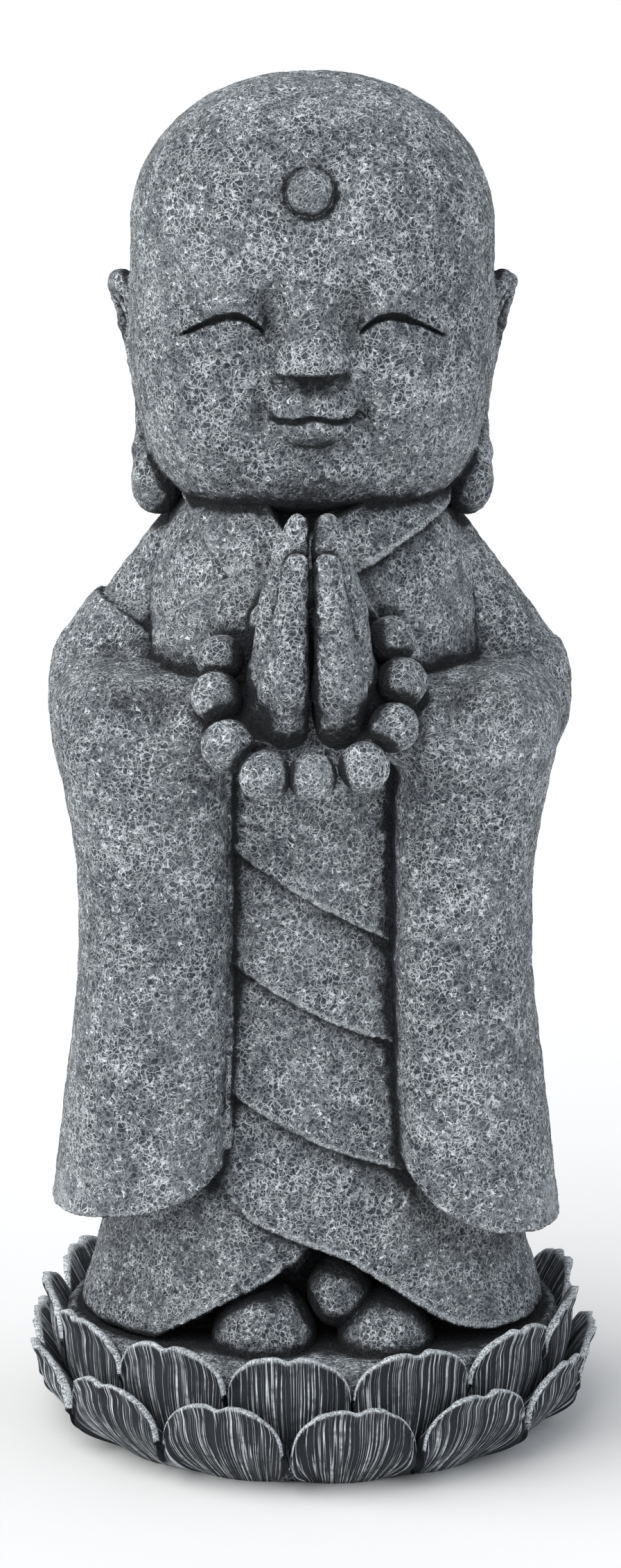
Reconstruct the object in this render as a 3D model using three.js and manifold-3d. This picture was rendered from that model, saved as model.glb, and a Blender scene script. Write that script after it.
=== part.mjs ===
// Stone jizo statue: a child monk with praying hands on a double lotus pedestal, carved as one piece.
// Millimetres. +Z is up, the figure looks along -Y, and the origin is the centre of the flat underside.
import * as THREE from 'three';
import { ConvexGeometry } from 'three/addons/geometries/ConvexGeometry.js';
import { LoftGeometry } from 'three/addons/geometries/LoftGeometry.js';
import { mergeVertices } from 'three/addons/utils/BufferGeometryUtils.js';
import Module from 'manifold-3d';

const wasm = await Module();
wasm.setup();

// ---- driving dimensions -------------------------------------------------------------------------

const TURN = 2 * Math.PI;
const SIDES = [-1, 1]; // the two mirrored halves of the figure

const CROWN = 600; // top of the head above the ground
const STONE = { color: 0x5c6169, roughness: 0.9, metalness: 0 };

const POD = { foot: 99, rim: 110, top: 52 }; // the round seed pod under the figure
const PETALS = 13; // in each of the two rows
const LOWER_PETAL = { first: 8.75, foot: -3, tip: 41, width: 26.5, footRadius: 102, tipRadius: 127 };
const UPPER_PETAL = { first: -5.1, foot: 10, tip: 62, width: 26, footRadius: 105, tipRadius: 119.5 };
const PETAL_RIM = 5; // thickness at the tip
const PETAL_ROOT = 22; // thickness at the foot, where the petal grows out of the pod
const PETAL_CUP = 8; // how far a petal's edges stand back from its middle

const HEM = 50; // the robe's lowest ring, just inside the pod
const FOLD_PROUD = 4; // each wrap of the robe lies this much over the wrap below
const FOLDS = [
  { z: 101, slope: -0.588 },
  { z: 148, slope: -0.47 },
  { z: 204.5, slope: -0.507 },
  { z: 252.5, slope: -0.583 },
]; // the lower edges of the wraps, falling to the figure's left: height in the middle, and slope

const OPENING = { apex: 99, depth: 34 }; // the parted hem over the feet

const BEADS = 12;
const BEAD_RADIUS = 10.6;
const MALA = { radius: 39.5, y: -95, z: 349, tilt: THREE.MathUtils.degToRad(49) };

const HEAD = { width: 78, depth: 76, widest: 533, chin: 412, squareness: 2.5 };
const EAR = { y: 6 };

// ---- solids -------------------------------------------------------------------------------------

// Turns a closed three.js geometry into a solid that can be joined and cut.
function solid(geometry) {
  const bare = new THREE.BufferGeometry();
  bare.setAttribute('position', geometry.attributes.position);
  bare.setIndex(geometry.index);
  const merged = mergeVertices(bare, 1e-4);
  return new wasm.Manifold(
    new wasm.Mesh({
      numProp: 3,
      vertProperties: new Float32Array(merged.attributes.position.array),
      triVerts: new Uint32Array(merged.index.array),
    }),
  );
}

function join(solids) {
  return solids.reduce((whole, next) => whole.add(next));
}

// Rings from the bottom row to the top row, closed at both ends; place gives a ring's point at an angle
// that runs counter-clockwise seen from above, from +X.
function loft(rows, columns, place) {
  const ring = (row) => Array.from({ length: columns }, (_, i) => place(row, (TURN * i) / columns));
  return solid(new LoftGeometry(rows.map(ring), { capStart: true, capEnd: true }));
}

// A point at an angle on a superellipse of half sizes a and b.
function oval(angle, a, b, power) {
  const c = Math.cos(angle);
  const s = Math.sin(angle);
  const r = (Math.abs(c / a) ** power + Math.abs(s / b) ** power) ** (-1 / power);
  return new THREE.Vector2(r * c, r * s);
}

// Level oval rings, each given as [height, x, y, half width, half depth].
function post(rings, columns) {
  return loft(rings, columns, ([z, x, y, a, b], angle) => {
    const p = oval(angle, a, b, 2);
    return new THREE.Vector3(x + p.x, y + p.y, z);
  });
}

function ball(x, y, z, radii, columns = 10, rows = 6) {
  const geometry = new THREE.SphereGeometry(1, columns, rows).rotateX(Math.PI / 2);
  return solid(geometry.scale(...radii).translate(x, y, z));
}

// The hull of two balls, each given as [x, y, z, radius].
function limb(start, end, columns = 10, rows = 6) {
  const points = [start, end].flatMap(([x, y, z, radius]) => {
    const { position } = new THREE.SphereGeometry(radius, columns, rows).translate(x, y, z).attributes;
    return Array.from({ length: position.count }, (_, i) => new THREE.Vector3().fromBufferAttribute(position, i));
  });
  return solid(new ConvexGeometry(points));
}

// An upright prism: an outline in X and Z, cut through from one depth to another.
function prism(outline, yFront, yBack) {
  const shape = new THREE.Shape(outline.map(([x, z]) => new THREE.Vector2(x, z)));
  const geometry = new THREE.ExtrudeGeometry(shape, { depth: yBack - yFront, bevelEnabled: false });
  return solid(geometry.rotateX(Math.PI / 2).translate(0, yBack, 0));
}

// A thin rod along a curve, to cut a groove with.
function rod(points, width) {
  const path = new THREE.CatmullRomCurve3(points.map((p) => new THREE.Vector3(...p)));
  const half = width / 2;
  const section = new THREE.Shape([
    new THREE.Vector2(-half, 0),
    new THREE.Vector2(0, -half),
    new THREE.Vector2(half, 0),
    new THREE.Vector2(0, half),
  ]);
  return solid(new THREE.ExtrudeGeometry(section, { steps: 8, extrudePath: path }));
}

// ---- small mathematics --------------------------------------------------------------------------

const mix = (a, b, t) => a + (b - a) * t;
const ramp = (from, to, v) => THREE.MathUtils.smoothstep(v, from, to);

// Reads a table of [height, value, value...] rows at any height.
function read(table, z, column) {
  const above = table.findIndex((row) => row[0] > z);
  if (above === 0) return table[0][column];
  if (above === -1) return table[table.length - 1][column];
  const [low, high] = [table[above - 1], table[above]];
  return mix(low[column], high[column], (z - low[0]) / (high[0] - low[0]));
}

// ---- lotus pedestal -----------------------------------------------------------------------------

function pod() {
  const profile = [
    [0, -3],
    [POD.foot, -3],
    [POD.rim - 4, 22],
    [POD.rim, POD.top - 3],
    [POD.rim - 2, POD.top],
    [0, POD.top],
  ];
  const points = profile.map(([radius, z]) => new THREE.Vector2(radius, z));
  return solid(new THREE.LatheGeometry(points, 2 * PETALS).rotateX(Math.PI / 2));
}

// One spoon-shaped petal: narrow at its foot, full at two fifths of its height, with a rounded tip
// that curls outward and dips in the middle.
function petal({ foot, tip, width, footRadius, tipRadius }, degrees) {
  const spread = [0.8, 1, 0.93, 0.7, 0.36];
  const lift = [0, 0.45, 0.8, 0.95, 1];
  const rows = lift.map((t, i) => ({ t, half: width * spread[i] }));
  const outerFace = [-1, -0.6, 0, 0.6, 1];
  const acrossOf = [...outerFace, 0]; // and one point on the inner face
  const turn = THREE.MathUtils.degToRad(degrees);
  return loft(rows, acrossOf.length, ({ t, half }, angle) => {
    const index = Math.round((angle / TURN) * acrossOf.length);
    const outer = index < outerFace.length;
    const c = acrossOf[index];
    const swell = Math.sin(Math.min(t / 0.9, 1) * Math.PI * 0.5);
    const curl = 2.5 * ramp(0.8, 1, t);
    const dip = 2 * (1 - Math.abs(c)) * ramp(0.9, 1, t);
    const depth = outer ? 0 : mix(PETAL_ROOT, PETAL_RIM, t ** 3);
    const out = mix(footRadius, tipRadius, swell) + curl - PETAL_CUP * c * c * (half / width) ** 2 - depth;
    const side = half * c;
    return new THREE.Vector3(
      side * Math.cos(turn) + out * Math.sin(turn),
      side * Math.sin(turn) - out * Math.cos(turn),
      mix(foot, tip, t) - dip,
    );
  });
}

function pedestal() {
  const petals = [LOWER_PETAL, UPPER_PETAL].flatMap((row) =>
    Array.from({ length: PETALS }, (_, i) => petal(row, row.first + (360 * i) / PETALS)),
  );
  return join([pod(), ...petals]);
}

// ---- robe ---------------------------------------------------------------------------------------

// Height, half width and half depth of the figure's trunk.
const TRUNK = [
  [50, 103, 80],
  [55, 103, 80],
  [80, 96, 75],
  [110, 90, 71],
  [150, 84, 68],
  [200, 80, 66],
  [260, 77, 66],
  [320, 74, 68],
  [360, 72, 70],
  [390, 66, 66],
  [410, 56, 56],
  [425, 40, 40],
];

// Draws a ring's points together on the front of the figure.
const denser = (angle) => angle - 0.35 * Math.cos(angle);

// 1 on the front of the figure, 0 from its sides round its back.
const front = (angle, from, to) => ramp(from, to, -Math.sin(angle));

function trunkPoint(angle, z, proud) {
  const p = oval(angle, read(TRUNK, z, 1) + proud, read(TRUNK, z, 2) + proud, 2.2);
  return new THREE.Vector3(p.x, p.y, z);
}

// The skirt and chest in one loft: its rows run along the tilted edges of the wraps, and each edge is
// a pair of rows, the lower one flush and the upper one proud.
function trunk() {
  const flat = (z) => ({ z, slope: 0, proud: 0 });
  const edges = FOLDS.flatMap(({ z, slope }) => [
    { z: z - 1, slope, proud: 0 },
    { z: z + 1, slope, proud: FOLD_PROUD },
  ]);
  const rows = [flat(HEM), flat(55), ...edges, flat(312), flat(350), flat(385), flat(409), flat(426)];
  return loft(rows, 30, ({ z, slope, proud }, evenAngle) => {
    const angle = denser(evenAngle);
    const lean = slope * front(angle, 0, 0.5);
    const level = trunkPoint(angle, z, 0);
    const height = Math.max(z + lean * level.x, Math.min(z, HEM + 6));
    return trunkPoint(angle, height, proud * front(angle, 0.3, 0.55));
  });
}

// The opening in the hem: the near wrap's edge on one side, the far panel's corner on the other.
function hemOpening() {
  const slope = FOLDS[0].slope;
  const outline = [
    [0, OPENING.apex],
    [-15.5, 86],
    [-34.5, 75],
    [-70, 54],
    [-80, 40],
    [90, 40],
    [75, FOLDS[0].z + 75 * slope - 1],
  ];
  return prism(outline, -130, -78 + OPENING.depth);
}

// A flat-lying band of the collar, proud of the chest, inside an outline in X and Z.
function collarBand(outline, proud) {
  const rows = [330, 360, 390, 410, 426];
  const shell = loft(rows, 30, (z, angle) => trunkPoint(denser(angle), z, proud));
  return shell.intersect(prism(outline, -120, 0));
}

function collar() {
  const near = [
    [62, 428],
    [59, 417],
    [16, 392],
    [-22, 402],
    [-2, 412],
    [20, 428],
  ];
  const far = [
    [-58, 428],
    [-55.6, 420],
    [-36.8, 393],
    [-17, 400],
    [-13, 413],
    [-24, 428],
  ];
  const wrap = [
    [19, 393],
    [-24, 401],
    [-62, 372],
    [-62, 347],
    [40, 347],
  ];
  return join([collarBand(near, 4), collarBand(far, 4), collarBand(wrap, 2.5)]);
}

// ---- arms and sleeves ---------------------------------------------------------------------------

// Height, inner and outer edge of a hanging sleeve, measured from the middle of the figure.
const SLEEVE = [
  [90, 37, 112],
  [146, 35, 107],
  [225, 33, 99],
  [265, 33, 100],
  [320, 34, 110],
];
const SLEEVE_SPAN = { y: -18, depth: 69, top: 350 }; // middle and half depth, and the forearm's top
// The figure's right sleeve, on -X, hangs wider and shorter than its left one.
const SLEEVE_SIDE = { '-1': { wider: 3, hem: 107 }, 1: { wider: -3, hem: 100 } };

// Rings of a sleeve from its hem (t = 0) to the forearm (t = 1), drawn in by shrink; the hem climbs
// towards the figure's middle in a round corner.
function sleeveRings(side, rings) {
  const { y, depth, top } = SLEEVE_SPAN;
  return loft(rings, 18, ({ t, shrink }, angle) => {
    const level = mix(105, top, t);
    const inner = read(SLEEVE, level, 1);
    const outer = read(SLEEVE, level, 2) + SLEEVE_SIDE[side].wider;
    const half = (outer - inner) / 2;
    const p = oval(angle, half * shrink, depth * shrink, 2.6);
    const inward = (1 - (side * p.x) / half) / 2;
    const hem = SLEEVE_SIDE[side].hem - 0.12 * p.y + 26 * inward ** 3;
    return new THREE.Vector3(side * (inner + half) + p.x, y + p.y, mix(hem, top, t));
  });
}

function sleeve(side) {
  const cloth = sleeveRings(side, [
    { t: 0, shrink: 1 },
    { t: 0.2, shrink: 1 },
    { t: 0.5, shrink: 1 },
    { t: 0.75, shrink: 1 },
    { t: 0.9, shrink: 1 },
    { t: 0.96, shrink: 0.94 },
    { t: 1, shrink: 0.72 },
  ]);
  const mouth = sleeveRings(side, [
    { t: -0.1, shrink: 0.9 },
    { t: 0.035, shrink: 0.9 },
  ]);
  return cloth.subtract(mouth);
}

function arm(side) {
  return join([
    limb([side * 48, 5, 388, 27], [side * 81, 5, 336, 32]),
    limb([side * 88, -6, 326, 24], [side * 46, -70, 330, 20]),
    sleeve(side),
  ]);
}

// ---- hands and beads ----------------------------------------------------------------------------

function hand(side) {
  const thumb = [
    [327, side * 10, -103, 5, 5],
    [335, side * 11, -104, 10, 9.5],
    [352, side * 11.5, -107, 11, 11],
    [382, side * 8.5, -109, 8, 8],
    [404, side * 6.5, -110, 6, 6],
    [411, side * 6, -109, 3, 3],
  ];
  const palm = [
    [325, side * 11, -92, 6, 8],
    [335, side * 12.5, -92, 12.5, 13],
    [355, side * 13.5, -94, 14, 13],
    [385, side * 10.8, -97, 11.2, 11],
    [408, side * 7.5, -99, 8, 8],
    [424, side * 5.5, -99, 4.5, 4],
  ];
  const wrist = limb([side * 14, -92, 340, 11], [side * 42, -72, 334, 15], 8, 5);
  return join([post(thumb, 8), post(palm, 8), wrist]);
}

// Twelve beads on one ring, each just pressed into the next. The ring is built level and then tipped up
// behind the hands.
function mala() {
  const beads = Array.from({ length: BEADS }, (_, i) =>
    new THREE.SphereGeometry(BEAD_RADIUS, 8, 6)
      .translate(MALA.radius, 0, 0)
      .rotateZ((TURN * i) / BEADS - Math.PI / 2)
      .rotateX(MALA.tilt)
      .translate(0, MALA.y, MALA.z),
  );
  return join(beads.map(solid));
}

// ---- feet ---------------------------------------------------------------------------------------

function feet() {
  return join([
    ball(-22, -54, 54, [22, 27, 22]),
    ball(13, -52, 74, [13, 18, 16]),
    ball(32, -54, 53, [20, 26, 21]),
  ]);
}

// ---- head ---------------------------------------------------------------------------------------

// Half width of the head: round over the brow, nearly square at the jaw.
function headWidth(z) {
  const above = z > HEAD.widest;
  const power = above ? 2.1 : 4;
  const reach = above ? CROWN - HEAD.widest : HEAD.widest - HEAD.chin;
  const t = Math.min(Math.abs(z - HEAD.widest) / reach, 1);
  return HEAD.width * (1 - t ** power) ** (1 / power);
}

// How far the face stands out from or back into the plain head, on the front.
function relief(x, z) {
  const bump = (cx, cz, wide, high) => Math.exp(-(((Math.abs(x) - cx) / wide) ** 2) - ((z - cz) / high) ** 2);
  const cheeks = 4.5 * bump(42, 460, 20, 26);
  const sockets = -4 * bump(19, 500, 9, 12);
  const besideMouth = -3.5 * bump(22, 464, 6, 14);
  return cheeks + sockets + besideMouth;
}

function skull() {
  const rows = [412.5, 417, 426, 438, 450, 462, 474, 486, 498, 512, 531, 550, 567, 581, 591, 597, CROWN];
  return loft(rows, 30, (z, evenAngle) => {
    const angle = denser(evenAngle);
    const half = Math.max(headWidth(z), 6);
    const p = oval(angle, half, (half * HEAD.depth) / HEAD.width, HEAD.squareness);
    const out = relief(p.x, z) * front(angle, 0.3, 0.7);
    return new THREE.Vector3(p.x, p.y - out, z);
  });
}

function nose() {
  return post(
    [
      [480, 0, -72, 15, 15],
      [487, 0, -72, 15.5, 16],
      [497, 0, -71, 9, 12],
      [512, 0, -70, 7, 8],
      [524, 0, -70, 5, 4],
    ],
    8,
  );
}

function face() {
  const features = [
    nose(),
    ball(0, -66, 462, [19, 13, 17]), // muzzle
    ball(0, -56, 437, [27, 16.5, 15]), // chin
    ball(-1, -73, 555, [9.5, 8, 9.5]), // urna
    ...SIDES.map((side) => ball(side * 37, -62, 501, [22, 11.5, 12])), // closed lids
  ];
  return join([skull(), ...features]);
}

function faceGrooves() {
  const eyes = SIDES.map((side) =>
    rod(
      [
        [side * 19, -76, 495.5],
        [side * 25, -77, 501],
        [side * 34, -76, 504.5],
        [side * 44, -72, 500],
        [side * 56, -64, 495],
      ],
      5,
    ),
  );
  const mouth = rod(
    [
      [-19, -76, 461],
      [-10, -79, 459.5],
      [0, -80, 461],
      [10, -79, 459.5],
      [20, -76, 461],
    ],
    4,
  );
  return join([...eyes, mouth]);
}

function ear(side) {
  const shell = post(
    [
      [410, side * 68, -4, 6, 7],
      [417, side * 67, -5, 11.5, 13],
      [428, side * 67, -4, 11.5, 13],
      [444, side * 71, 2, 8, 12],
      [470, side * 73, EAR.y, 6, 15],
      [503, side * 79, EAR.y + 2, 8, 18],
      [513, side * 81, EAR.y + 2, 6, 12],
    ],
    8,
  );
  const hollow = ball(side * 84, EAR.y - 14, 490, [5, 12, 18], 8, 5);
  return shell.subtract(hollow);
}

function head() {
  return join([face().subtract(faceGrooves()), ...SIDES.map(ear)]);
}

// ---- the statue ---------------------------------------------------------------------------------

// The union's outer skin, without the bubbles that crossing parts may close in.
function outerBody(whole) {
  return whole.decompose().reduce((best, next) => (next.volume() > best.volume() ? next : best));
}

function statue() {
  const dressed = join([trunk().subtract(hemOpening()), collar(), ...SIDES.map(arm)]);
  const figure = join([dressed, ...SIDES.map(hand), mala(), feet(), head()]);
  const below = solid(new THREE.BoxGeometry(400, 400, 40).translate(0, 0, -20));
  return outerBody(join([pedestal(), figure]).subtract(below));
}

function meshOf(body) {
  const { vertProperties, triVerts } = body.getMesh();
  const geometry = new THREE.BufferGeometry();
  geometry.setAttribute('position', new THREE.BufferAttribute(vertProperties, 3));
  geometry.setIndex(new THREE.BufferAttribute(triVerts, 1));
  geometry.computeVertexNormals();
  return new THREE.Mesh(geometry, new THREE.MeshStandardMaterial(STONE));
}

const jizo = meshOf(statue());
jizo.name = 'jizo_statue';

const model = new THREE.Group();
model.add(jizo);

export default model;
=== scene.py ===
"""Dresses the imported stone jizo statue: carved surface, weathered stone, floor, light and camera.

The carved forms are distance fields in millimetres, in the statue's own frame: +Z is up, the figure
looks along -Y and stands on Z = 0. Each field is negative inside the stone and is meshed and scaled to
metres. Only the two rings of petals are laid out point by point.
"""
import math

import bpy
import numpy as np
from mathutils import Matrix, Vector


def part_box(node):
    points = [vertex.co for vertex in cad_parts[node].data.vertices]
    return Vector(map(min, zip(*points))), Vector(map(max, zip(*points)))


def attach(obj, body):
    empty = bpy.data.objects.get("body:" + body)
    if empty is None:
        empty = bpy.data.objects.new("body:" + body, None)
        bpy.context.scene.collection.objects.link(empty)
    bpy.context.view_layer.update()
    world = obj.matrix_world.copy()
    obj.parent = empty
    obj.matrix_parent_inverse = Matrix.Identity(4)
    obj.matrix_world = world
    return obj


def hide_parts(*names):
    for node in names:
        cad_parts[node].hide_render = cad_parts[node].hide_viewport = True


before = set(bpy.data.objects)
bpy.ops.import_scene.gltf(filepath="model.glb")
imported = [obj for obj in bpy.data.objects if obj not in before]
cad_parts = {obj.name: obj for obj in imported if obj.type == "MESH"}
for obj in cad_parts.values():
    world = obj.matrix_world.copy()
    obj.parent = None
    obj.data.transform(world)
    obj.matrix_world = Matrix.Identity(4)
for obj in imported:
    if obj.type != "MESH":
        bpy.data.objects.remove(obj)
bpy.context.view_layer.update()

import openvdb as vdb
from mathutils import Vector

MM = 0.001
NODE = "jizo_statue"
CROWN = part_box(NODE)[1][2] / MM  # the top of the head
FAR = 1e3  # a distance that no point of the statue reaches
SIDES = (-1, 1)
COARSER = 1.0

# ---- driving sizes ------------------------------------------------------------------------------

POD = {"foot": 99, "rim": 110, "top": 52}
PETALS = 13
LOWER_PETAL = {
    "first": 8.75, "foot": 0, "tip": 42.5, "width": 27,
    "foot_radius": 100, "tip_radius": 125, "drop": 24,
}
UPPER_PETAL = {
    "first": -5.1, "foot": 8, "tip": 63.5, "width": 26.5,
    "foot_radius": 105, "tip_radius": 117.5, "drop": 22,
}
PETAL_RIM = 2.4  # thickness at the tip
PETAL_ROOT = 16  # thickness at the foot
PETAL_CUP = 8  # how far the sides curl back
PETAL_SWELL = 0.8  # the part of its height over which a petal widens

# Height, half width and half depth of the trunk.
TRUNK = (
    (40, 104, 81),
    (55, 103, 80),
    (80, 96, 75),
    (110, 90, 71),
    (150, 84, 68),
    (200, 80, 66),
    (260, 77, 66),
    (320, 75, 68),
    (360, 74, 70),
    (388, 70, 67),
    (402, 65, 63),
    (414, 59, 57),
    (424, 52, 49),
    (436, 40, 38),
)
TRUNK_PLAN = 2.2
FOLD_PROUD = 4.2
# Lower edge of each upper wrap of the robe: height in the middle, slope, and how far its ends bow up.
FOLDS = ((145.5, -0.47, 3.2), (202, -0.5, 3), (251, -0.583, 1.8))
# Across and height along the front wrap's hem, and along the free edge of the panel under it.
WRAP_HEM = ((-70, 172), (-50, 140), (-39, 124), (-29, 112), (-15, 104.5), (0, 99), (15, 93), (30, 83.5),
            (45, 73), (58, 64), (72, 58.5), (88, 57), (110, 58))
PANEL_EDGE = ((-90, 40), (-70, 53), (-47, 67), (-34, 74), (-15, 86), (-4, 95), (0, 101), (6, 116))
HEM_FOOT = 54  # the robe's hem, a little clear of the pod
HEM_INSET = 13  # how far the legs stand back inside the hem
OPENING_DEPTH = 34
NECK_TOP = 434  # the trunk ends here, inside the head
# Outlines in X and Z of the collar's layers, counter-clockwise, and how proud each one lies.
COLLAR = (
    ([(16, 392.4), (59, 417.4), (64, 436), (20, 436), (-6, 409), (-22, 401)], 7.6),
    ([(-17, 396), (-10, 407), (-27, 436), (-60, 436), (-56, 421), (-36.8, 392.5)], 4.2),
    ([(-64, 340), (45, 340), (19, 392), (-21, 402.3), (-62, 372.8)], 5.8),
)
COLLAR_LIP = 1.2
NECKLINE = [(-7, 401), (26, 440), (-27, 440)]

# Height, inner and outer edge of a hanging sleeve.
SLEEVE = (
    (85, 38, 113),
    (100, 37, 112),
    (146, 35, 107),
    (225, 33, 99),
    (265, 33, 100),
    (300, 33.5, 106),
    (320, 36, 110),
    (335, 41, 110),
    (352, 48, 104),
)
SLEEVE_MIDDLE = -18
SLEEVE_DEPTH = 69
SLEEVE_TOP = 349
SLEEVE_PLAN = {"inner": 3.8, "outer": 2.6}
SLEEVE_WIDER = {-1: 3, 1: -3}
SLEEVE_HEM = {-1: 107, 1: 100}
SLEEVE_CORNER = {-1: 25, 1: 39}  # how far the hem climbs towards the figure's middle
HEM_THICKNESS = 5
# The bunched cloth below each shoulder: height and slope of its upper edge, and how proud it lies.
UPPER_FOLD = {-1: {"z": 370.5, "slope": 0.55, "proud": 3.4}, 1: {"z": 349, "slope": 0.2, "proud": 1.4}}

# Twelve beads on a ring that hangs a little askew: across, up the slope it lies on, and radius.
# The last three are hidden behind the hands and are a guess.
MALA = {"y": -95, "z": 349, "slope": math.radians(49)}
MALA_BEADS = (
    (-38.7, 15.1, 10.2), (-40.3, -3.1, 10.6), (-35.1, -27.0, 11.3), (-19.7, -41.2, 10.9),
    (0.1, -41.7, 10.3), (21.5, -37.0, 10.7), (34.0, -18.1, 10.6), (37.7, 4.0, 10.7),
    (32.9, 23.9, 10.6), (10, 34, 10.6), (-4, 46, 10.6), (-16, 33, 10.6),
)

# The inner layer of the right sleeve.
LINING = {"x": -42, "y": -30, "half_width": 10, "half_depth": 38, "top": 318, "foot": 140}

HEAD = {"width": 78, "depth": 76, "widest": 533, "chin": 412}
URNA = {"x": -1, "z": 555, "radius": 9.5, "ring": 10.2}

# How far out from the surface a recess is felt for, with the weight of each reach: the deeper the recess, the
# more painted shade and dark wash it is given.
RECESS_REACHES = ((2.5, 0.45), (7, 0.5), (18, 0.45), (40, 0.2))
UNDERSIDE_SHADE = 0.28  # painted shade on faces that look down
EDGE_DEPTH = 3.0  # an edge is where the stone is thinner than this

# ---- small mathematics --------------------------------------------------------------------------


def mix(a, b, t):
    """Runs straight from a at t = 0 to b at t = 1."""
    return a + (b - a) * t


def ramp(start, end, value):
    """Smooth step from 0 at start to 1 at end."""
    t = np.clip((value - start) / (end - start), 0, 1)
    return t * t * (3 - 2 * t)


def length(*parts):
    return np.sqrt(sum(part * part for part in parts))


def hump(value, centre, width):
    """A smooth bump, 1 at its centre."""
    return np.exp(-(((value - centre) / width) ** 2))


def soft_min(a, b, k):
    """Joins two fields with a fillet about k wide."""
    h = np.clip(0.5 + 0.5 * (b - a) / k, 0, 1)
    return b + (a - b) * h - k * h * (1 - h)


def soft_max(a, b, k):
    """Keeps what two fields share, its edge rounded about k wide."""
    return -soft_min(-a, -b, k)


def smooth_table(rows, column):
    """A smooth function of height through one column of a table."""
    at = np.array([row[0] for row in rows], float)
    value = np.array([row[column] for row in rows], float)
    slope = np.gradient(value, at)
    fine = np.linspace(at[0], at[-1], 400)
    i = np.clip(np.searchsorted(at, fine, side="right") - 1, 0, len(at) - 2)
    gap = at[i + 1] - at[i]
    t = (fine - at[i]) / gap
    low = (2 * t**3 - 3 * t**2 + 1) * value[i] + (t**3 - 2 * t**2 + t) * gap * slope[i]
    high = (3 * t**2 - 2 * t**3) * value[i + 1] + (t**3 - t**2) * gap * slope[i + 1]
    return lambda z: np.interp(z, fine, low + high).astype(np.float32)


# ---- noise at points ----------------------------------------------------------------------------


def lattice(ix, iy, iz, seed):
    """A repeatable random number from 0 to 1 for each cell of a lattice."""
    n = ix * 374761393 + iy * 668265263 + iz * 2147483647 + seed * 974634777
    n = (n ^ (n >> 13)) & 0xFFFFFFFF
    n = (n * 1274126177) & 0xFFFFFFFF
    n = n ^ (n >> 16)
    return (n & 0xFFFFFF) / float(0x1000000)


def smooth_noise(points, size, seed):
    """Noise from -1 to 1 with features about one size across."""
    p = points / size
    base = np.floor(p).astype(np.int64)
    f = p - base
    f = f * f * f * (f * (6 * f - 15) + 10)
    total = np.zeros(len(points))
    for dx in (0, 1):
        for dy in (0, 1):
            for dz in (0, 1):
                weight = np.abs(1 - dx - f[:, 0]) * np.abs(1 - dy - f[:, 1]) * np.abs(1 - dz - f[:, 2])
                total += weight * lattice(base[:, 0] + dx, base[:, 1] + dy, base[:, 2] + dz, seed)
    return 2 * total - 1


def cell_edges(points, size, seed):
    """How near a point is to a border between random cells, from 0 in a cell's middle to 1 on a border."""
    p = points / size
    base = np.floor(p).astype(np.int64)
    first = np.full(len(points), FAR)
    second = np.full(len(points), FAR)
    for dx in (-1, 0, 1):
        for dy in (-1, 0, 1):
            for dz in (-1, 0, 1):
                cell = base + (dx, dy, dz)
                shift = [lattice(*cell.T, seed + axis) for axis in range(3)]
                gap = length(*(p[:, axis] - (cell[:, axis] + shift[axis]) for axis in range(3)))
                second = np.minimum(second, np.maximum(gap, first))
                first = np.minimum(first, gap)
    return 1 - np.clip((second - first) / 0.6, 0, 1)


# ---- fields: basic shapes -----------------------------------------------------------------------


def ellipsoid(x, y, z, centre, radii):
    """An ellipsoid's field, near enough to a distance close to its surface."""
    dx, dy, dz = x - centre[0], y - centre[1], z - centre[2]
    near = length(dx / radii[0], dy / radii[1], dz / radii[2])
    steep = length(dx / radii[0] ** 2, dy / radii[1] ** 2, dz / radii[2] ** 2)
    return near * (near - 1) / np.maximum(steep, 1e-6)


def limb(x, y, z, start, end):
    """A tapering round limb between two balls, each given as (x, y, z, radius)."""
    run = [b - a for a, b in zip(start[:3], end[:3])]
    dx, dy, dz = x - start[0], y - start[1], z - start[2]
    t = np.clip((dx * run[0] + dy * run[1] + dz * run[2]) / sum(r * r for r in run), 0, 1)
    return length(dx - t * run[0], dy - t * run[1], dz - t * run[2]) - mix(start[3], end[3], t)


def chain(x, y, z, balls, k):
    """Limbs from ball to ball, run together with fillets."""
    whole = limb(x, y, z, balls[0], balls[1])
    for start, end in zip(balls[1:], balls[2:]):
        whole = soft_min(whole, limb(x, y, z, start, end), k)
    return whole


def oval_column(x, y, a, b, power):
    """An upright column with a superellipse for its plan, measured along the ray from its axis."""
    x = np.where(np.abs(x) < 1e-3, 1e-3, x)
    k = ((np.abs(x) / a) ** power + (np.abs(y) / b) ** power) ** (1 / power)
    r = length(x, y)
    return r - r / k


# ---- fields: robe -------------------------------------------------------------------------------

trunk_width = smooth_table(TRUNK, 1)
trunk_depth = smooth_table(TRUNK, 2)


def trunk_column(x, y, z):
    """The plain trunk under all layers of cloth."""
    return oval_column(x, y, trunk_width(z), trunk_depth(z), TRUNK_PLAN)


def fold_edge(x, fold):
    """Height of a wrap's lower edge."""
    z, slope, bow = fold
    return z + slope * x + bow * (x / 32) ** 2


wrap_hem = smooth_table(WRAP_HEM, 1)
panel_edge = smooth_table(PANEL_EDGE, 1)


def inside_outline(x, z, corners):
    """Field of a convex outline in X and Z, its corners given counter-clockwise."""
    whole = -FAR
    for (x0, z0), (x1, z1) in zip(corners, corners[1:] + corners[:1]):
        dx, dz = x1 - x0, z1 - z0
        whole = np.maximum(whole, ((x - x0) * dz - (z - z0) * dx) / math.hypot(dx, dz))
    return whole


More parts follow.
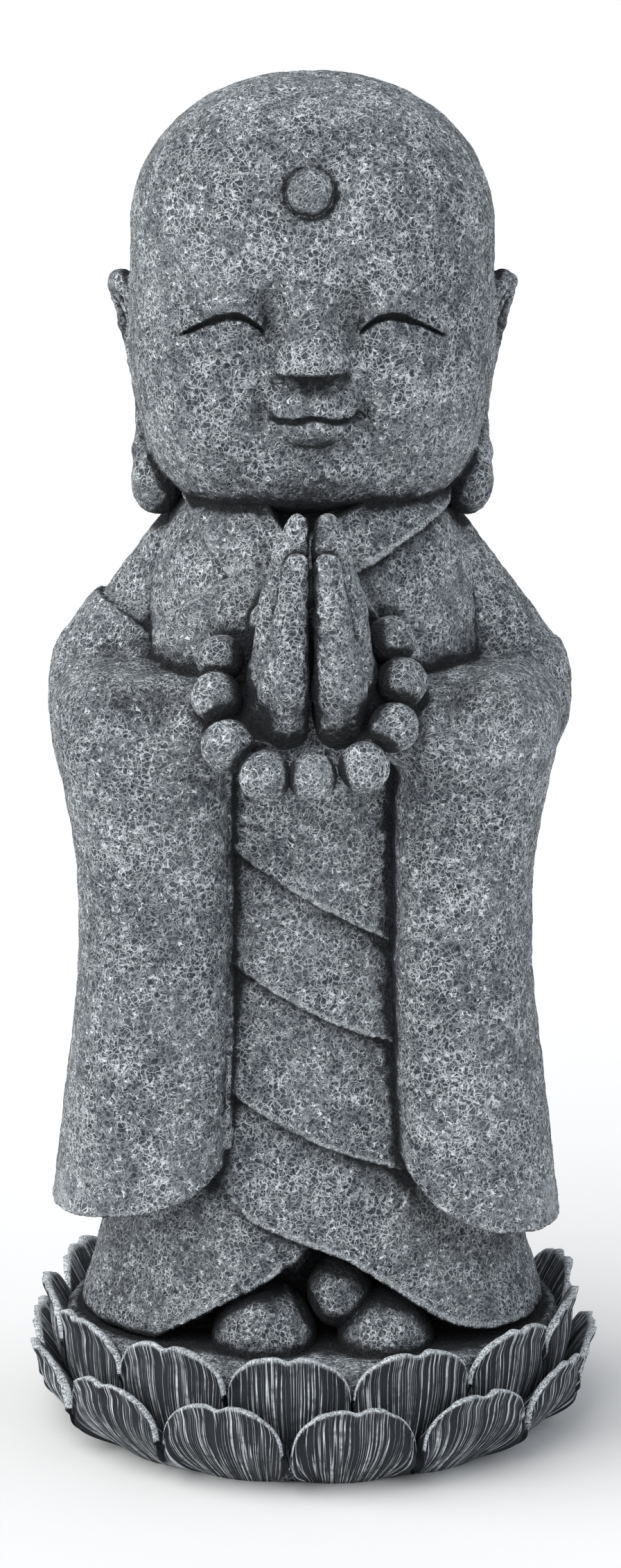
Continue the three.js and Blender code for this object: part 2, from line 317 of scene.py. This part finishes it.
def trunk(x, y, z):
    """Skirt and chest, wrapped in layers that each lie a little over the one below."""
    column = trunk_column(x, y, z)
    facing = ramp(0.2, 0.6, -y / length(x + 1e-3, y))
    column = np.maximum(column, z - NECK_TOP)
    legs = soft_max(column + HEM_INSET, 44 - z, 1)
    cloth = soft_max(column, HEM_FOOT - z, 1.5)
    hem = mix(HEM_FOOT, wrap_hem(x), facing)
    edges = [(hem, 0.86)] + [(fold_edge(x, fold), 1 / math.hypot(1, fold[1])) for fold in FOLDS]
    tops = [edge for edge, _ in edges[1:]] + [edges[-1][0] + 60]
    for (edge, lean), top in zip(edges, tops):
        fall = np.clip((z - edge) / (top - edge), 0, 1.4)
        lip = 0.9 * np.exp(-(((z - edge) / 2.5) ** 2))
        proud = (FOLD_PROUD * (1 - 1.1 * fall) + lip) * facing
        cloth = np.minimum(cloth, soft_max(column - proud, (edge - z) * lean, 1.4))
    gap = np.maximum(z - panel_edge(x), z - wrap_hem(x) + 1) * 0.8
    opening = np.maximum(gap, y - (-78 + OPENING_DEPTH))
    return np.maximum(np.minimum(cloth, legs), -opening)


def collar(x, y, z):
    """The two lapels and the front they cross, each with a small lip along its edge."""
    column = np.maximum(trunk_column(x, y, z), z - NECK_TOP)
    whole = FAR
    for outline, proud in COLLAR:
        inside = inside_outline(x, z, outline)
        lip = COLLAR_LIP * hump(inside, 0, 1.8)
        band = soft_max(column - proud - lip, inside, 1.0)
        whole = np.minimum(whole, np.maximum(band, y + 5))
    return whole


def neckline(x, y, z):
    """The open V between the lapels, below the chin."""
    return np.maximum(inside_outline(x, z, NECKLINE), y + 46)


def robe(x, y, z):
    body = np.minimum(trunk(x, y, z), collar(x, y, z))
    return np.maximum(body, -neckline(x, y, z))


# ---- fields: arms and sleeves -------------------------------------------------------------------

sleeve_inner = smooth_table(SLEEVE, 1)
sleeve_outer = smooth_table(SLEEVE, 2)


def sleeve(x, y, z, side):
    """A hanging sleeve: a flattened column with a cut hem and a hollow mouth."""
    inner = sleeve_inner(z)
    outer = sleeve_outer(z) + SLEEVE_WIDER[side]
    half = (outer - inner) / 2
    across = x - side * (inner + half)
    along = y - SLEEVE_MIDDLE
    inward = np.clip((1 - side * across / half) / 2, 0, 1)
    plan = mix(SLEEVE_PLAN["outer"], SLEEVE_PLAN["inner"], ramp(0.3, 0.9, inward))
    column = oval_column(across, along, half, SLEEVE_DEPTH, plan)
    hem = SLEEVE_HEM[side] - 0.12 * along + SLEEVE_CORNER[side] * inward**4
    cloth = soft_max(column, z - SLEEVE_TOP, 24)
    lip = 0.8 * np.exp(-(((z - hem) / 3) ** 2))
    cloth = soft_max(cloth - lip, (hem - z) * 0.85, 1.8)
    mouth = np.maximum(column + HEM_THICKNESS, z - hem - 16)
    return np.maximum(cloth, -mouth)


def lining(x, y, z):
    """The inner layer of the right sleeve, showing as a narrow strip beside the robe."""
    plan = (LINING["half_width"], LINING["half_depth"], 5)
    strip = oval_column(x - LINING["x"], y - LINING["y"], *plan)
    return soft_max(soft_max(strip, z - LINING["top"], 4), LINING["foot"] - z, 3)


def arm(x, y, z, side):
    """One sleeved arm, with its bunched cloth at the shoulder and drape over the forearm."""
    upper = limb(x, y, z, (side * 46, 5, 388, 28), (side * 81, 5, 336, 31))
    fold = UPPER_FOLD[side]
    overlap = z - fold["z"] - fold["slope"] * (side * x - 85)
    upper = np.minimum(upper, soft_max(upper - fold["proud"], overlap * 0.85, 1.2))
    fore = limb(x, y, z, (side * 88, -6, 325, 24.5), (side * 46, -70, 329, 20))
    whole = soft_min(upper, fore, 5)
    whole = soft_min(whole, sleeve(x, y, z, side), 7)
    drape = np.sin((side * x - 0.35 * (z - 330)) / 7) * ramp(300, 330, z) * ramp(-20, -45, y)
    whole = whole + 0.6 * drape
    return np.minimum(whole, lining(x, y, z)) if side < 0 else whole


# ---- fields: hands and beads --------------------------------------------------------------------


def hand(x, y, z, side):
    """A thumb on an upright palm and its fingers, and the wrist that runs back into the cuff."""
    thumb = [
        (side * 11, -103, 335, 9.5),
        (side * 11.5, -107, 352, 11),
        (side * 8.2, -111.5, 382, 7.4),
        (side * 6.2, -112.5, 404, 5.6),
    ]
    palm = [
        (side * 12.5, -92, 337, 12),
        (side * 13.5, -94, 355, 13.2),
        (side * 11.6, -97, 385, 10.4),
        (side * 7.5, -99, 408, 8),
        (side * 5.8, -99, 419.5, 4.8),
    ]
    wrist = limb(x, y, z, (side * 14, -92, 340, 11), (side * 42, -72, 334, 15))
    whole = soft_min(chain(x, y, z, thumb, 3), chain(x, y, z, palm, 3), 0.8)
    return soft_min(whole, wrist, 6)


def hands(x, y, z):
    """Both hands, each kept to its own side of a narrow parting."""
    halves = [np.maximum(hand(x, y, z, side), 0.7 - side * (x + 1)) for side in SIDES]
    return np.minimum(*halves)


def mala(x, y, z):
    """The ring of beads."""
    whole = FAR
    for across, up, radius in MALA_BEADS:
        back = MALA["y"] + up * math.cos(MALA["slope"])
        high = MALA["z"] + up * math.sin(MALA["slope"])
        whole = np.minimum(whole, length(x - across, y - back, z - high) - radius)
    return whole


# ---- fields: feet and pod -----------------------------------------------------------------------


def feet(x, y, z):
    """The three rounded lumps that show below the hem."""
    lumps = (
        ((-21, -57, 53), (23, 29, 24)),
        ((12, -56, 74), (14, 18, 16)),
        ((32, -58, 53), (21, 27, 22)),
    )
    whole = FAR
    for centre, radii in lumps:
        whole = np.minimum(whole, ellipsoid(x, y, z, centre, radii))
    return whole


def pod(x, y, z):
    """The round block inside the petals, on which the figure stands."""
    r = length(x, y)
    rim = np.interp(z, (0, 22, POD["top"] - 3), (POD["foot"], POD["rim"] - 4, POD["rim"]))
    whole = soft_max(r - rim, z - POD["top"], 4)
    return np.maximum(whole, -z)


# ---- fields: head -------------------------------------------------------------------------------


def skull(x, y, z):
    """Round over the brow and nearly square at the jaw, measured along the ray from the head's middle."""
    up = z - HEAD["widest"]
    reach = np.where(up > 0, CROWN - HEAD["widest"], HEAD["widest"] - HEAD["chin"])
    power = np.where(up > 0, 2.1, 4.0)
    plan = ((np.abs(x) / HEAD["width"]) ** 2.5 + (np.abs(y) / HEAD["depth"]) ** 2.5) ** (1 / 2.5)
    k = (plan**power + (np.abs(up) / reach) ** power) ** (1 / power)
    r = length(x, y, up)
    return r - r / np.maximum(k, 1e-3)


def eye_arc(x):
    """Height of the closed eyelid's line."""
    t = (np.abs(x) - 33) / 22
    return 504 - np.where(t > 0, 9.5, 21) * np.abs(t) ** np.where(t > 0, 1.5, 1.9)


def face_relief(x, z):
    """How far the face stands out from the plain skull."""
    side = np.abs(x)
    cheeks = 4.8 * hump(side, 44, 19) * hump(z, 458, 27)
    brow = 1.4 * hump(side, 34, 22) * hump(z, 523, 8)
    sockets = -8 * hump(side, 17.5, 7) * hump(z, 504, 15)
    under_eyes = -1.6 * hump(side, 29, 8) * hump(z, 486, 7)
    beside_mouth = -4.6 * hump(side, 22, 3.6) * hump(z, 463, 13)
    lids = 2.2 * hump(side, 38, 15) * hump(z, 507, 9)
    above = z - eye_arc(x)
    on_eye = ramp(17.5, 22, side) * (1 - ramp(53, 57, side))
    lid_edge = 2.2 * ramp(0.3, 1.5, above) * (1 - ramp(2, 13, above)) * on_eye
    groove = -3.4 * np.exp(-((above / mix(0.8, 1.7, hump(side, 34, 13))) ** 4)) * on_eye
    return cheeks + brow + sockets + under_eyes + beside_mouth + lids + lid_edge + groove


def mouth_line(x):
    """Height of the parting of the lips."""
    across = np.abs(x - 1)
    bow = 0.9 * np.cos((x - 1) / 2.9) * (1 - ramp(8, 14, across))
    return 460.6 + bow - 0.7 * ramp(6, 14, across) + 2.2 * ramp(15, 20, across)


def mouth_relief(x, z):
    """How far the mouth's parts stand out, added to the face."""
    across = np.abs(x - 1)
    line = mouth_line(x)
    within = 1 - ramp(17, 20.5, across)
    lips = -3.2 * np.exp(-(((z - line) / 1.25) ** 2)) * within
    corners = -3.0 * hump(across, 19.3, 2.4) * hump(z, 462, 2.8)
    philtrum = -2.2 * hump(x, -1, 2.0) * hump(z, 470, 8)
    lower_lip = 0.8 * hump(x, 0, 10) * hump(z, 455.5, 3)
    under_lip = -0.8 * hump(x, 0, 13) * hump(z, 448.5, 3)
    return lips + corners + philtrum + lower_lip + under_lip


NOSE = (
    (476, 15.5, 14.5),
    (480, 16, 15),
    (486, 15.8, 15.8),
    (492, 12.6, 14.4),
    (498, 9.6, 12.2),
    (506, 8, 9.4),
    (514, 7.4, 6.6),
    (526, 7, 2.5),
)
nose_width = smooth_table(NOSE, 1)
nose_depth = smooth_table(NOSE, 2)


def nose(x, y, z):
    ridge = oval_column(x, y + 71.5, nose_width(z), nose_depth(z), 2.2)
    return soft_max(soft_max(ridge, 480 - z, 1.5), z - 526, 6)


def face(x, y, z):
    muzzle = ellipsoid(x, y, z, (0, -66, 463), (18, 15, 17))
    chin = ellipsoid(x, y, z, (0, -56, 437), (27, 16.5, 15))
    urna = ellipsoid(x, y, z, (URNA["x"], -73, URNA["z"]), (URNA["radius"],) * 3)
    front = ramp(-25, -55, y)
    whole = skull(x, y, z) - face_relief(x, z) * front
    whole = soft_min(whole, muzzle, 3)
    whole = soft_min(whole, chin, 7)
    whole = whole - mouth_relief(x, z) * front
    whole = soft_min(whole, nose(x, y, z), mix(1.5, 7, ramp(484, 496, z)))
    ring = length(x - URNA["x"], z - URNA["z"])
    whole = whole + 0.6 * hump(ring, URNA["ring"], 0.9) * front
    return np.minimum(whole, urna)


def face_wash_and_shade(x, y, z):
    """How dark the wash and painted shade lie in the eye and mouth lines, and the painted shade in the
    hollows of face and ears.
    """
    side = np.abs(x)
    on_eye = ramp(18, 21, side) * (1 - ramp(53, 57, side))
    eyes = on_eye * np.exp(-(((z - eye_arc(x)) / mix(0.7, 1.3, hump(side, 34, 13))) ** 4))
    mouth = 0.7 * np.exp(-(((z - mouth_line(x)) / 1.2) ** 2)) * (1 - ramp(17, 21, np.abs(x - 1)))
    # Painted shade in the eye sockets and the creases beside the mouth.
    sockets = 0.5 * hump(side, 17, 6) * hump(z, 500, 18)
    creases = 0.5 * hump(side, 22, 4) * hump(z, 463, 14)
    # Painted shade in the ear's hollow.
    ears = 0.75 * hump(side, 84.5, 3.5) * hump(z, 480, 15) * (1 - ramp(-16, -26, y))
    hollows = np.maximum(sockets, creases)
    return np.maximum(np.maximum(np.maximum(eyes, mouth), hollows) * ramp(-40, -50, y), ears)


def ear(x, y, z, side):
    """A long ear: a rolled rim, a hollow, and a fat lobe that hangs beside the jaw."""
    x = x * side
    rim = [
        (76, -2, 498, 3.2),
        (79, 1, 507, 4),
        (82.5, 7, 510, 4.2),
        (84, 14, 508.5, 4.4),
        (83, 20, 501, 4),
        (80.5, 23, 489, 3.6),
        (77, 23, 474, 3.4),
        (73.5, 20, 460, 3.8),
        (71.5, 11, 447, 5),
        (70, 3, 436, 8),
        (67.5, -3, 425, 10.8),
        (67, -4, 420, 10.4),
    ]
    plate = ellipsoid(x, y, z, (75, 14, 484), (4.5, 15, 27))
    ridge = limb(x, y, z, (82, 12, 503, 2.6), (76, 3, 491, 2.8))
    tragus = limb(x, y, z, (76, 2, 490, 3.2), (74, 4, 468, 3))
    whole = soft_min(chain(x, y, z, rim, 2), plate, 3)
    whole = soft_min(whole, ridge, 2)
    return soft_min(whole, tragus, 2)


def head(x, y, z):
    whole = face(x, y, z)
    for side in SIDES:
        whole = soft_min(whole, ear(x, y, z, side), 2.5)
    return whole


# ---- meshes -------------------------------------------------------------------------------------


def everything(x, y, z):
    """The whole statue without its petals, to find what lies in recesses and on edges."""
    parts = [head(x, y, z), robe(x, y, z), hands(x, y, z), mala(x, y, z), feet(x, y, z), pod(x, y, z)]
    parts += [arm(x, y, z, side) for side in SIDES]
    whole = parts[0]
    for part in parts[1:]:
        whole = np.minimum(whole, part)
    return whole


def new_object(name, points, faces):
    """A mesh object in metres from points in millimetres; faces is a list of index arrays."""
    mesh = bpy.data.meshes.new(name)
    mesh.vertices.add(len(points))
    mesh.vertices.foreach_set("co", (points * MM).astype(np.float32).ravel())
    sizes = np.concatenate([np.full(len(part), part.shape[1], np.int32) for part in faces])
    corners = np.concatenate([part.ravel() for part in faces]).astype(np.int32)
    starts = np.concatenate(([0], np.cumsum(sizes)[:-1])).astype(np.int32)
    mesh.loops.add(len(corners))
    mesh.loops.foreach_set("vertex_index", corners)
    mesh.polygons.add(len(sizes))
    mesh.polygons.foreach_set("loop_start", starts)
    mesh.update(calc_edges=True)
    mesh.validate()
    piece = bpy.data.objects.new(name, mesh)
    bpy.context.scene.collection.objects.link(piece)
    return piece


def points_and_normals(mesh):
    points = np.empty(len(mesh.vertices) * 3, np.float32)
    normals = np.empty(len(mesh.vertices) * 3, np.float32)
    mesh.vertices.foreach_get("co", points)
    mesh.vertex_normals.foreach_get("vector", normals)
    return points.reshape(-1, 3) / MM, normals.reshape(-1, 3)


def thin_out(piece, limit):
    """Collapses edges until the piece has no more than a number of triangles."""
    count = sum(len(polygon.vertices) - 2 for polygon in piece.data.polygons)
    if count <= limit:
        return
    modifier = piece.modifiers.new("thin", "DECIMATE")
    modifier.ratio = limit / count
    ready = piece.evaluated_get(bpy.context.evaluated_depsgraph_get())
    thinned = bpy.data.meshes.new_from_object(ready)
    piece.modifiers.clear()
    old = piece.data
    piece.data = thinned
    bpy.data.meshes.remove(old)
    thinned.name = piece.name


def roughen(piece, amount):
    """Gives a piece the lumps of its weathered surface, along its own normals."""
    points, normals = points_and_normals(piece.data)
    lumps = 0.35 * smooth_noise(points, size=9, seed=11)
    lumps += 0.3 * smooth_noise(points, size=4.5, seed=12)
    net = 0.5 * cell_edges(points, size=4.2, seed=21)
    points += normals * (amount * (lumps + net - 0.2))[:, None]
    piece.data.vertices.foreach_set("co", (points * MM).astype(np.float32).ravel())
    piece.data.update()


def store(piece, name, values):
    """Stores one number for each point of a piece."""
    attribute = piece.data.attributes.new(name, "FLOAT", "POINT")
    attribute.data.foreach_set("value", values.astype(np.float32))


def store_wear_and_shade(piece, dark_wash_and_shade=None):
    """Stores, from 0 to 1, how deep in a recess each point lies, for its painted shade and dark wash, and how
    far out on an edge, for its wear.
    """
    points, normals = points_and_normals(piece.data)
    # Painted shade and dark wash: darker where other stone stands close over a point.
    recess = np.zeros(len(points))
    for reach, weight in RECESS_REACHES:
        out = points + normals * reach
        free = everything(out[:, 0], out[:, 1], out[:, 2]) / reach
        recess += weight * (1 - np.clip(free, 0, 1))
    # Painted shade on faces that look down.
    recess += UNDERSIDE_SHADE * np.clip(-normals[:, 2], 0, 1)
    # The face's wash and painted shade, where darker than the recesses.
    if dark_wash_and_shade is not None:
        recess = np.maximum(recess, dark_wash_and_shade(*points.T))
    inside = points - normals * EDGE_DEPTH
    edge = 1 + everything(inside[:, 0], inside[:, 1], inside[:, 2]) / EDGE_DEPTH
    store(piece, "recess", np.clip(recess, 0, 1))
    store(piece, "edge", np.clip(edge, 0, 1))


def carve(name, field, low, high, step, limit, rough=1.0, dark_wash_and_shade=None):
    """Meshes a field inside a box and finishes it as one piece of the statue."""
    step *= COARSER
    axes = [np.arange(a, b + step, step, dtype=np.float32) for a, b in zip(low, high)]
    x, y, z = axes[0][:, None, None], axes[1][None, :, None], axes[2][None, None, :]
    values = field(x, y, z)
    grid = vdb.FloatGrid()
    grid.background = 3 * step
    grid.copyFromArray(np.ascontiguousarray(np.clip(values, -3 * step, 3 * step), dtype=np.float32))
    points, triangles, quads = grid.convertToPolygons(isovalue=0.0, adaptivity=0.0)
    points = points * step + np.array(low, np.float32)
    faces = [part for part in (triangles, quads) if len(part)]
    piece = new_object(name, points, faces)
    roughen(piece, rough)
    thin_out(piece, limit)
    store_wear_and_shade(piece, dark_wash_and_shade)
    return piece


def petal_points(row, degrees, seed, columns, rows):
    """One spoon-shaped petal as closed rows of points: up its outer face, over the rim and down inside."""
    across = np.linspace(-1, 1, columns)[:, None]
    back_rows = max(rows // 5, 3)
    up = np.linspace(0, 1, rows) ** 0.8
    t = np.concatenate((up, np.linspace(1, 0, back_rows)))[None, :]
    back = np.concatenate((np.zeros(rows), np.ones(back_rows)))[None, :]
    swell = np.sin(np.minimum(t / PETAL_SWELL, 1) * math.pi / 2)
    spread = 0.64 + 0.36 * swell
    top = row["tip"] - row["drop"] * (1 - (1 - np.abs(across) ** 2.3 * 0.999) ** (1 / 2.3))
    top = top - 1.8 * np.exp(-((across / 0.13) ** 2))
    z = mix(row["foot"], top, t)
    out = mix(row["foot_radius"], row["tip_radius"], swell) + 2.6 * ramp(0.82, 1, t)
    out = out - PETAL_CUP * np.abs(across) ** 2.2 * mix(0.5, 1, t)
    lines = np.stack(np.broadcast_arrays(across * 20 + seed * 31.7, t * 0.7, across * 0), -1).reshape(-1, 3)
    ridges = (smooth_noise(lines, size=1, seed=31) * 0.6).reshape(columns, -1)
    ruffle = (smooth_noise(lines * (0.3, 1, 1), size=1, seed=32) * 1.4).reshape(columns, -1)
    out = out + (ridges + ruffle * ramp(0.6, 1, t)) * (1 - back) * ramp(0, 0.15, t)
    z = z + ruffle * 0.5 * ramp(0.8, 1, t)
    out = out - back * mix(PETAL_ROOT, PETAL_RIM, t**1.5)
    side = row["width"] * spread * across
    turn = math.radians(degrees)
    x = side * math.cos(turn) + out * math.sin(turn)
    y = side * math.sin(turn) - out * math.cos(turn)
    points = np.stack(np.broadcast_arrays(x, y, z), -1)
    return points, *np.broadcast_arrays(across, t)


def petal_ring(name, row, columns, rows):
    """Thirteen petals as one piece, with each point's place on its petal stored for the stone's grain."""
    all_points, all_faces, all_across, all_along = [], [], [], []
    start = 0
    for i in range(PETALS):
        points, across, along = petal_points(row, row["first"] + 360 * i / PETALS, i + 1, columns, rows)
        count = points.shape[1]
        index = start + np.arange(columns * count).reshape(columns, count)
        following = np.roll(index, -1, axis=1)
        quads = np.stack((index[:-1], index[1:], following[1:], following[:-1]), -1).reshape(-1, 4)
        all_faces.append(quads)
        all_faces += [index[:1, ::-1], index[-1:]]
        all_points.append(points.reshape(-1, 3))
        all_across.append(across.ravel() + 10 * i)
        all_along.append(along.ravel())
        start += columns * count
    piece = new_object(name, np.concatenate(all_points), all_faces)
    store(piece, "across", np.concatenate(all_across))
    store(piece, "along", np.concatenate(all_along))
    return piece


# ---- stone --------------------------------------------------------------------------------------


class Graph:
    """Builds one material's nodes; an input is a socket of another node or a plain value."""

    def __init__(self, name):
        self.material = bpy.data.materials.new(name)
        self.material.use_nodes = True
        self.tree = self.material.node_tree
        self.shader = self.tree.nodes["Principled BSDF"]

    def node(self, kind, inputs, **settings):
        node = self.tree.nodes.new(kind)
        for key, value in settings.items():
            setattr(node, key, value)
        for key, value in inputs.items():
            if isinstance(value, bpy.types.NodeSocket):
                self.tree.links.new(value, node.inputs[key])
            else:
                node.inputs[key].default_value = value
        return node

    def maths(self, operation, a, b=0.0, c=0.0):
        return self.node("ShaderNodeMath", {0: a, 1: b, 2: c}, operation=operation).outputs[0]

    def away_from(self, value, middle):
        return self.maths("ABSOLUTE", self.maths("SUBTRACT", value, middle))

    def noise(self, place, scale, detail=1.0, output="Fac"):
        inputs = {"Vector": place, "Scale": scale, "Detail": detail}
        return self.node("ShaderNodeTexNoise", inputs).outputs[output]

    def cell_border(self, place, scale):
        inputs = {"Vector": place, "Scale": scale}
        return self.node("ShaderNodeTexVoronoi", inputs, feature="DISTANCE_TO_EDGE").outputs["Distance"]

    def ramp(self, value, low, high, start=0.0, end=1.0):
        inputs = {"Value": value, "From Min": low, "From Max": high, "To Min": start, "To Max": end}
        return self.node("ShaderNodeMapRange", inputs, interpolation_type="SMOOTHSTEP").outputs["Result"]

    def blend(self, factor, a, b):
        node = self.node("ShaderNodeMix", {"Factor": factor}, data_type="RGBA")
        for key, value in (("A", a), ("B", b)):
            socket = next(s for s in node.inputs if s.name == key and s.type == "RGBA")
            if isinstance(value, bpy.types.NodeSocket):
                self.tree.links.new(value, socket)
            else:
                socket.default_value = (*value, 1)
        return next(s for s in node.outputs if s.type == "RGBA")

    def attribute(self, name):
        return self.node("ShaderNodeAttribute", {}, attribute_name=name).outputs["Fac"]

    def finish(self, colour, height, relief):
        bump = self.node("ShaderNodeBump", {"Height": height, "Distance": relief, "Strength": 1.0})
        self.tree.links.new(colour, self.shader.inputs["Base Color"])
        self.tree.links.new(bump.outputs["Normal"], self.shader.inputs["Normal"])
        self.shader.inputs["Roughness"].default_value = 0.82
        self.shader.inputs["Specular IOR Level"].default_value = 0.35
        return self.material


# The scales of noise and cells below are in features per metre: 375 puts ridges 2.7 mm apart.
# Near-black of the stone's pits and the petals' ground, also laid in recesses as painted shade.
BLACK_AND_SHADE = (0.012, 0.013, 0.016)
DARK = (0.018, 0.022, 0.03)
SLATE = (0.045, 0.054, 0.073)
PALE = (0.74, 0.79, 0.83)
SWAY = 0.0036  # how far the net of ridges is bent, in metres
STONE_RELIEF = 0.0024
PETAL_RELIEF = 0.0006


def weathered_stone():
    """Dark cast stone, its net of fine ridges brushed pale and its recesses darkened with painted shade and
    dark wash.
    """
    g = Graph("weathered_stone")
    place = g.node("ShaderNodeTexCoord", {}).outputs["Object"]
    sway = g.noise(place, 280, 1, "Color")
    bending = {0: sway, 1: (SWAY,) * 3, 2: place}
    bent = g.node("ShaderNodeVectorMath", bending, operation="MULTIPLY_ADD").outputs[0]
    small = g.ramp(g.cell_border(bent, 375), 0.02, 0.15, 1, 0)
    large = g.ramp(g.cell_border(bent, 230), 0.01, 0.12, 1, 0)
    worms = g.ramp(g.away_from(g.noise(bent, 330), 0.5), 0.01, 0.048, 1, 0)
    curls = g.ramp(g.away_from(g.noise(bent, 500), 0.48), 0.01, 0.05, 1, 0)
    worms = g.maths("MAXIMUM", worms, g.maths("MULTIPLY", curls, 0.7))
    gaps = g.ramp(g.noise(place, 210), 0.36, 0.6)
    swap = g.ramp(g.noise(place, 75), 0.4, 0.6)
    net = g.maths("MULTIPLY", small, g.maths("MULTIPLY_ADD", swap, 0.6, 0.25))
    net = g.maths("MAXIMUM", net, g.maths("MULTIPLY", worms, g.maths("MULTIPLY_ADD", gaps, 0.8, 0.3)))
    net = g.maths("MAXIMUM", net, g.maths("MULTIPLY", large, g.maths("MULTIPLY", gaps, 0.3)))
    fine = g.noise(place, 1300, 2)
    cloud = g.noise(place, 26, 2)
    pits = g.ramp(g.noise(bent, 420, 1), 0.24, 0.36, 0.25, 1)
    ground = g.blend(g.ramp(fine, 0.3, 0.7), DARK, SLATE)
    ground = g.blend(g.ramp(cloud, 0.42, 0.7, 0, 0.07), ground, PALE)
    brushed = g.ramp(cloud, 0.25, 0.6, 0.75, 1)
    edge = g.ramp(g.attribute("edge"), 0.28, 0.65, 0, 0.8)
    worn_edge = g.maths("MULTIPLY", edge, g.ramp(fine, 0.3, 0.6))
    brushed = g.maths("MAXIMUM", g.maths("MULTIPLY", net, brushed), worn_edge)
    colour = g.blend(brushed, ground, PALE)
    colour = g.blend(pits, BLACK_AND_SHADE, colour)
    # Painted shade, with the dark wash, laid over recesses, undersides and the face's hollows.
    recess = g.ramp(g.attribute("recess"), 0.14, 0.8, 0, 0.96)
    colour = g.blend(recess, colour, BLACK_AND_SHADE)
    height = g.maths("MULTIPLY_ADD", net, 0.75, g.maths("MULTIPLY", fine, 0.25))
    height = g.maths("ADD", height, g.maths("MULTIPLY", pits, 0.5))
    return g.finish(colour, height, STONE_RELIEF)


def petal_stone():
    """The same stone combed in fine ribs that fan out from the petal's foot, with a pale rim."""
    g = Graph("petal_stone")
    place = g.node("ShaderNodeTexCoord", {}).outputs["Object"]
    across = g.attribute("across")
    along = g.attribute("along")
    wander = g.maths("MULTIPLY_ADD", g.noise(place, 60), 0.5, g.maths("MULTIPLY", across, 17))
    lines = g.node("ShaderNodeCombineXYZ", {0: wander, 1: g.maths("MULTIPLY", along, 0.45)}).outputs[0]
    ribs = g.noise(lines, 1.0, 1.5)
    rib = g.ramp(g.away_from(ribs, 0.5), 0.0, 0.05, 1, 0)
    worn = g.ramp(g.noise(place, 240, 2), 0.3, 0.55, 0.35, 0.9)
    rim = g.ramp(along, 0.955, 1.0)
    fine = g.noise(place, 1300, 2)
    ground = g.blend(g.ramp(fine, 0.3, 0.7), BLACK_AND_SHADE, DARK)
    brushed = g.maths("MULTIPLY", rib, worn)
    brushed = g.maths("MAXIMUM", brushed, g.maths("MULTIPLY", rim, g.ramp(fine, 0.35, 0.6, 0.2, 0.9)))
    colour = g.blend(brushed, ground, PALE)
    height = g.maths("MULTIPLY_ADD", rib, 0.8, g.maths("MULTIPLY", fine, 0.2))
    return g.finish(colour, height, PETAL_RELIEF)


# ---- floor, light and camera --------------------------------------------------------------------


def studio():
    """A pale floor, an even sky and two broad soft lamps."""
    bpy.ops.mesh.primitive_plane_add(size=80, location=(0, 20, 0))
    floor = bpy.context.object
    floor.name = "floor"
    pale = bpy.data.materials.new("floor_white")
    pale.use_nodes = True
    shader = pale.node_tree.nodes["Principled BSDF"]
    shader.inputs["Base Color"].default_value = (0.9, 0.9, 0.9, 1)
    shader.inputs["Roughness"].default_value = 1
    floor.data.materials.append(pale)

    world = bpy.data.worlds.new("studio")
    bpy.context.scene.world = world
    world.use_nodes = True
    background = world.node_tree.nodes["Background"]
    background.inputs["Color"].default_value = (0.95, 0.97, 1, 1)
    background.inputs["Strength"].default_value = 0.52
    bpy.context.scene.view_settings.view_transform = "Standard"

    for name, aim, energy, angle, tint in (
        ("key", (0.62, 0.4, -0.68), 2.7, 80, (1, 0.99, 0.97)),
        ("fill", (-0.92, 0.28, -0.28), 0.7, 90, (0.84, 0.91, 1)),
    ):
        light = bpy.data.lights.new(name, "SUN")
        light.energy = energy
        light.color = tint
        light.angle = math.radians(angle)
        lamp = bpy.data.objects.new(name, light)
        lamp.rotation_euler = Vector(aim).to_track_quat("-Z", "Y").to_euler()
        bpy.context.scene.collection.objects.link(lamp)


def camera():
    """A long lens a little above the statue, looking down at its middle."""
    data = bpy.data.cameras.new("camera")
    data.sensor_width = 36
    data.lens = 117.3
    data.clip_end = 100
    view = bpy.data.objects.new("camera", data)
    view.location = (-0.00075, -2.2, 0.757)
    view.rotation_euler = (math.radians(90 - 12.02), 0, 0)
    bpy.context.scene.collection.objects.link(view)
    bpy.context.scene.camera = view


# ---- the dressed statue -------------------------------------------------------------------------


def dress(piece, material):
    """Gives a piece its stone and smooth shading, hangs it under the root body and hides the imported statue
    it replaces.
    """
    piece.data.materials.clear()
    piece.data.materials.append(material)
    piece.data.shade_smooth()
    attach(piece, "root")
    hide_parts(NODE)


camera()
studio()
stone = weathered_stone()
petals = petal_stone()

# Each field with its box, the step of its mesh and the most triangles it may have.
carved = [
    carve("head_carved", head, (-94, -96, 404), (94, 84, 606), 0.95, 195000, dark_wash_and_shade=face_wash_and_shade),
    carve("robe_carved", robe, (-112, -92, 40), (112, 92, 440), 1.2, 160000),
    carve("arm_right_carved", lambda x, y, z: arm(x, y, z, -1), (-124, -97, 90), (-16, 62, 424), 1.2, 110000),
    carve("arm_left_carved", lambda x, y, z: arm(x, y, z, 1), (16, -97, 82), (124, 62, 424), 1.2, 105000),
    carve("hands_carved", hands, (-64, -124, 310), (64, -48, 430), 0.8, 60000),
    carve("mala_carved", mala, (-56, -140, 300), (54, -50, 398), 0.75, 66000, 0.6),
    carve("feet_carved", feet, (-50, -92, 28), (58, -20, 96), 1.0, 26000),
    carve("pod_carved", pod, (-114, -114, -4), (114, 114, 58), 1.8, 30000),
]
ringed = [
    petal_ring("lower_petals_carved", LOWER_PETAL, 92, 30),
    petal_ring("upper_petals_carved", UPPER_PETAL, 92, 30),
]
for piece in carved:
    dress(piece, stone)
for piece in ringed:
    dress(piece, petals)
